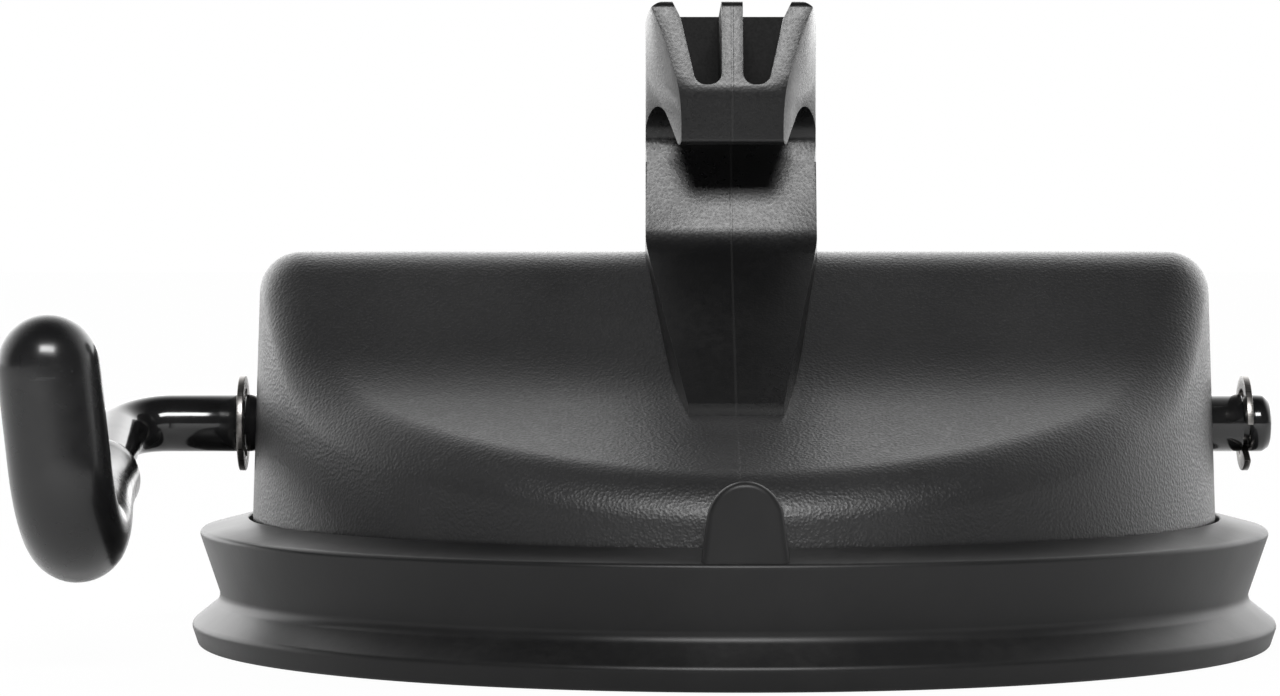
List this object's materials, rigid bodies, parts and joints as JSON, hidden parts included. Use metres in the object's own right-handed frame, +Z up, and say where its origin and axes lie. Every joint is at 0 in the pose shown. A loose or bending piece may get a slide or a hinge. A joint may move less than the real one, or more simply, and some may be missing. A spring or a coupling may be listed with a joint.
{
  "type": "vacuum suction mount",
  "caption": "Lever-locked vacuum suction mount: a round rubber pad under a ridged housing, a crank lever with a dipped grip, and an upright hook arm with an open pocket.",
  "frame": {"origin": "centre of the pad's sealing plane, which is the plane that the released pad rests on", "axes": "+Z up away from the sealing plane, +X along the lever rod away from the lever, -Y towards the front with the release tab"},
  "size_m": [0.1356, 0.1198, 0.0703],
  "materials": {
    "pad_rubber": "satin moulded black rubber",
    "housing_plastic": "fine moulded leather grain, black",
    "arm_plastic": "fine moulded grain, black",
    "inner_plastic": "smooth moulded black plastic",
    "bush_plastic": "natural acetal bush",
    "screw_steel": "zinc plated",
    "spring_steel": "bright spring wire",
    "rod_paint": "gloss black enamel",
    "grip_vinyl": "glossy black dipped vinyl",
    "cam_metal": "sintered steel",
    "pin_steel": "ground steel",
    "clip_steel": "phosphated spring steel",
    "plate_steel": "zinc plated sheet"
  },
  "bodies": {
    "base": {"suction_cup": "pad_rubber", "housing": "housing_plastic", "hook_arm": "arm_plastic", "arm_screws": "screw_steel", "guide_plate": "inner_plastic", "guide_screws": "screw_steel", "bush_left": "bush_plastic", "bush_right": "bush_plastic", "return_springs": "spring_steel"},
    "lever": {"lever_rod": "rod_paint", "lever_grip": "grip_vinyl", "cam": "cam_metal", "cam_pin": "pin_steel", "e_clip_left": "clip_steel", "e_clip_right": "clip_steel"},
    "lift": {"insert_plate": "plate_steel", "lift_stud": "pin_steel", "lift_yoke": "plate_steel", "follower_pin": "pin_steel", "follower_clips": "clip_steel"}
  },
  "joints": [
    {"name": "lever_turn", "type": "hinge", "parent": "base", "child": "lever", "pos_m": [0, 0, 0.0241], "axis": [-1, 0, 0], "range_deg": [0, 165]},
    {"name": "pad_lift", "type": "slide", "parent": "base", "child": "lift", "axis": [0, 0, 1], "range_m": [0, 0.0036], "deforming": ["return_springs"]}
  ],
  "couplings": [
    {"joint": "lever_turn", "follows": "pad_lift", "rad_per_m": 799.86}
  ]
}
